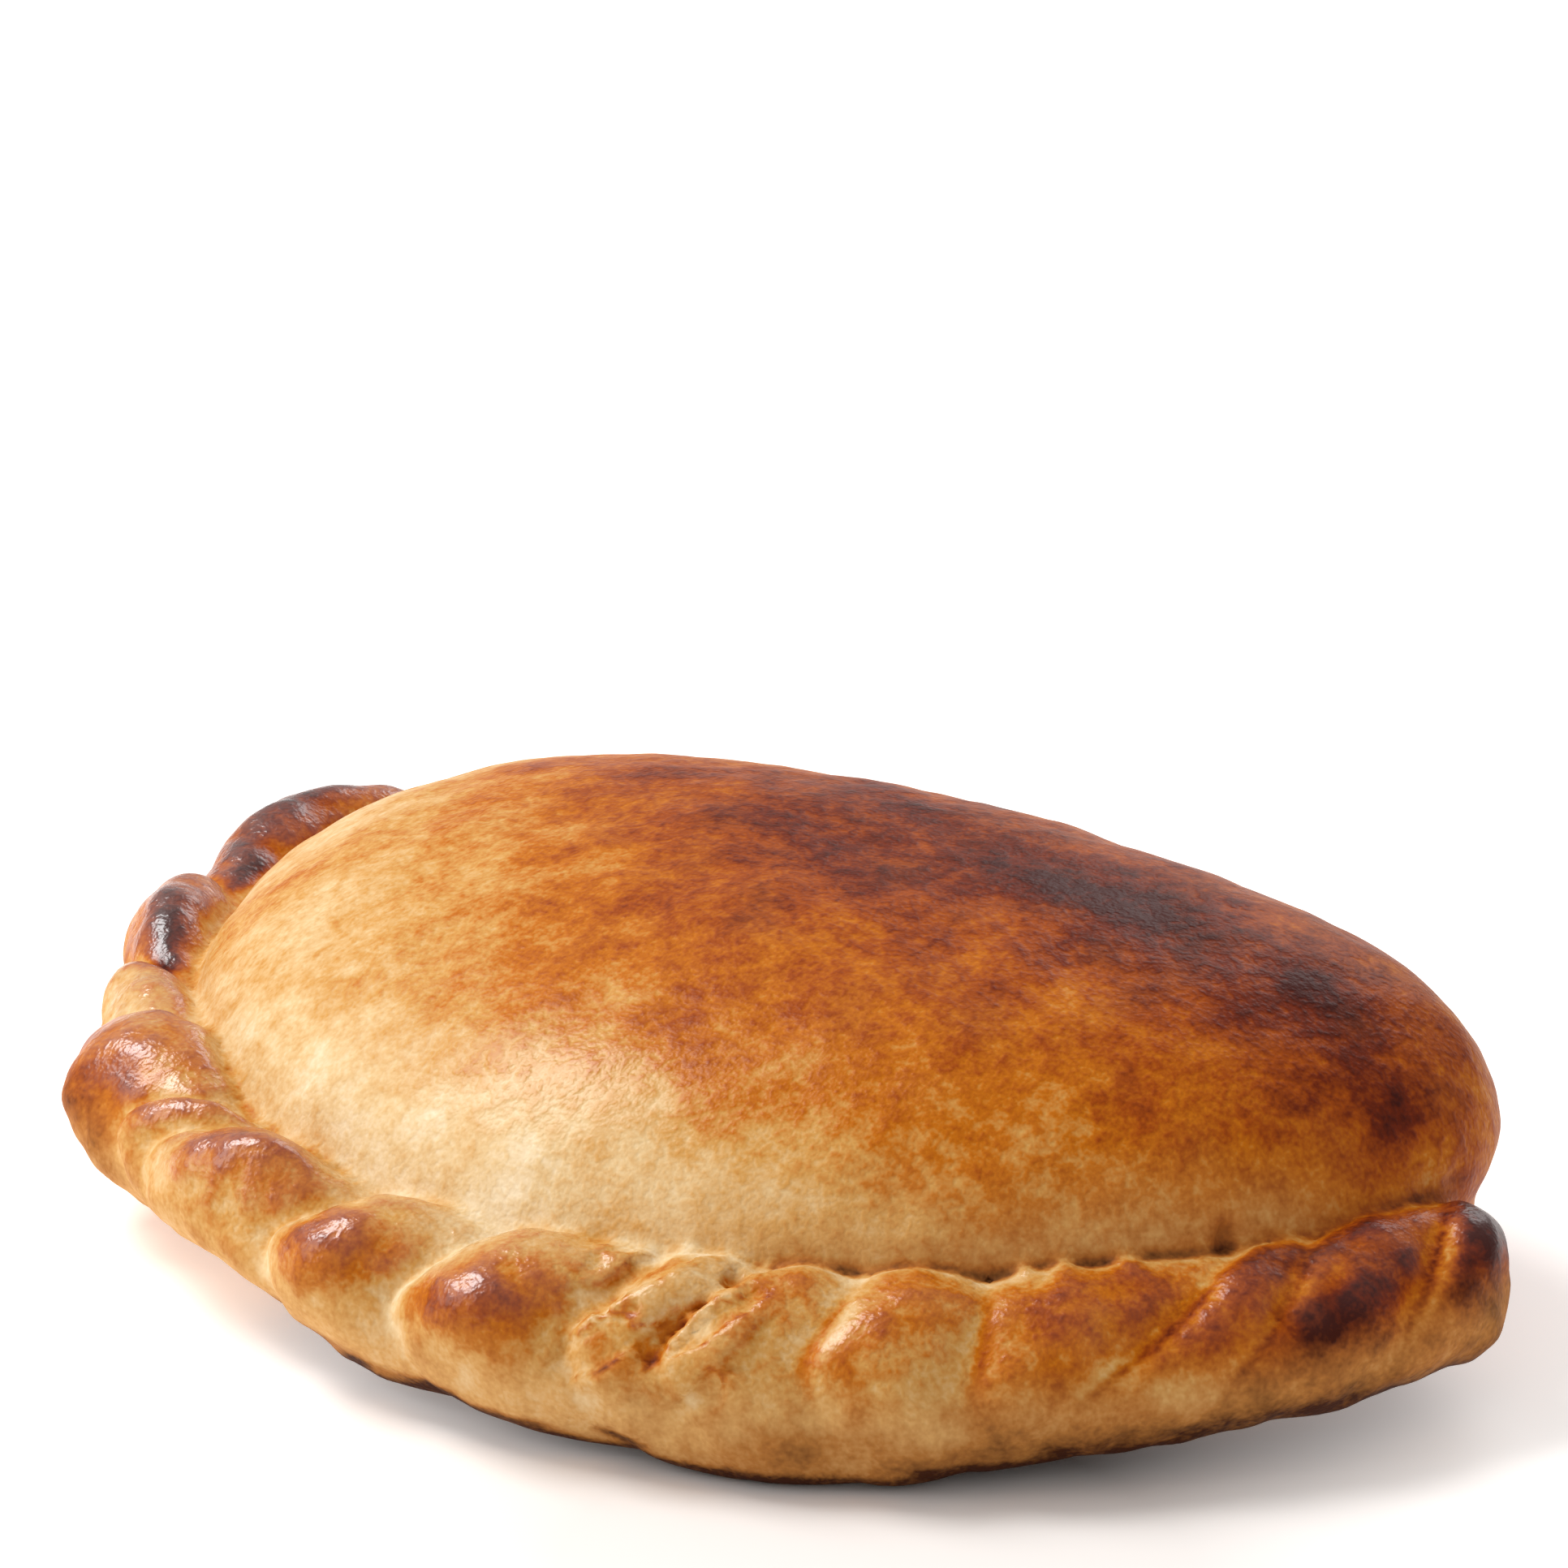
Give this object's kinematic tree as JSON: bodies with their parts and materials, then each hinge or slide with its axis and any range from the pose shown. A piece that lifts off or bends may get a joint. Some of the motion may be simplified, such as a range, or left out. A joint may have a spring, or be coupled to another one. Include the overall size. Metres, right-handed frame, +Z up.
{
  "type": "empanada",
  "caption": "Half-moon filled pastry with a rope-crimped rim, baked golden brown, lying on its flat underside.",
  "frame": {"origin": "centre of the bounding box in plan, on the surface that the flat underside rests on", "axes": "+X along the fold from the left end of the rim to the right, -Y towards the bowed crimped rim, +Z up"},
  "size_m": [0.1344, 0.0812, 0.0298],
  "materials": {
    "crust": "baked wheat dough with an egg-wash glaze, golden to dark brown"
  },
  "bodies": {
    "root": {"empanada": "crust"}
  },
  "joints": []
}
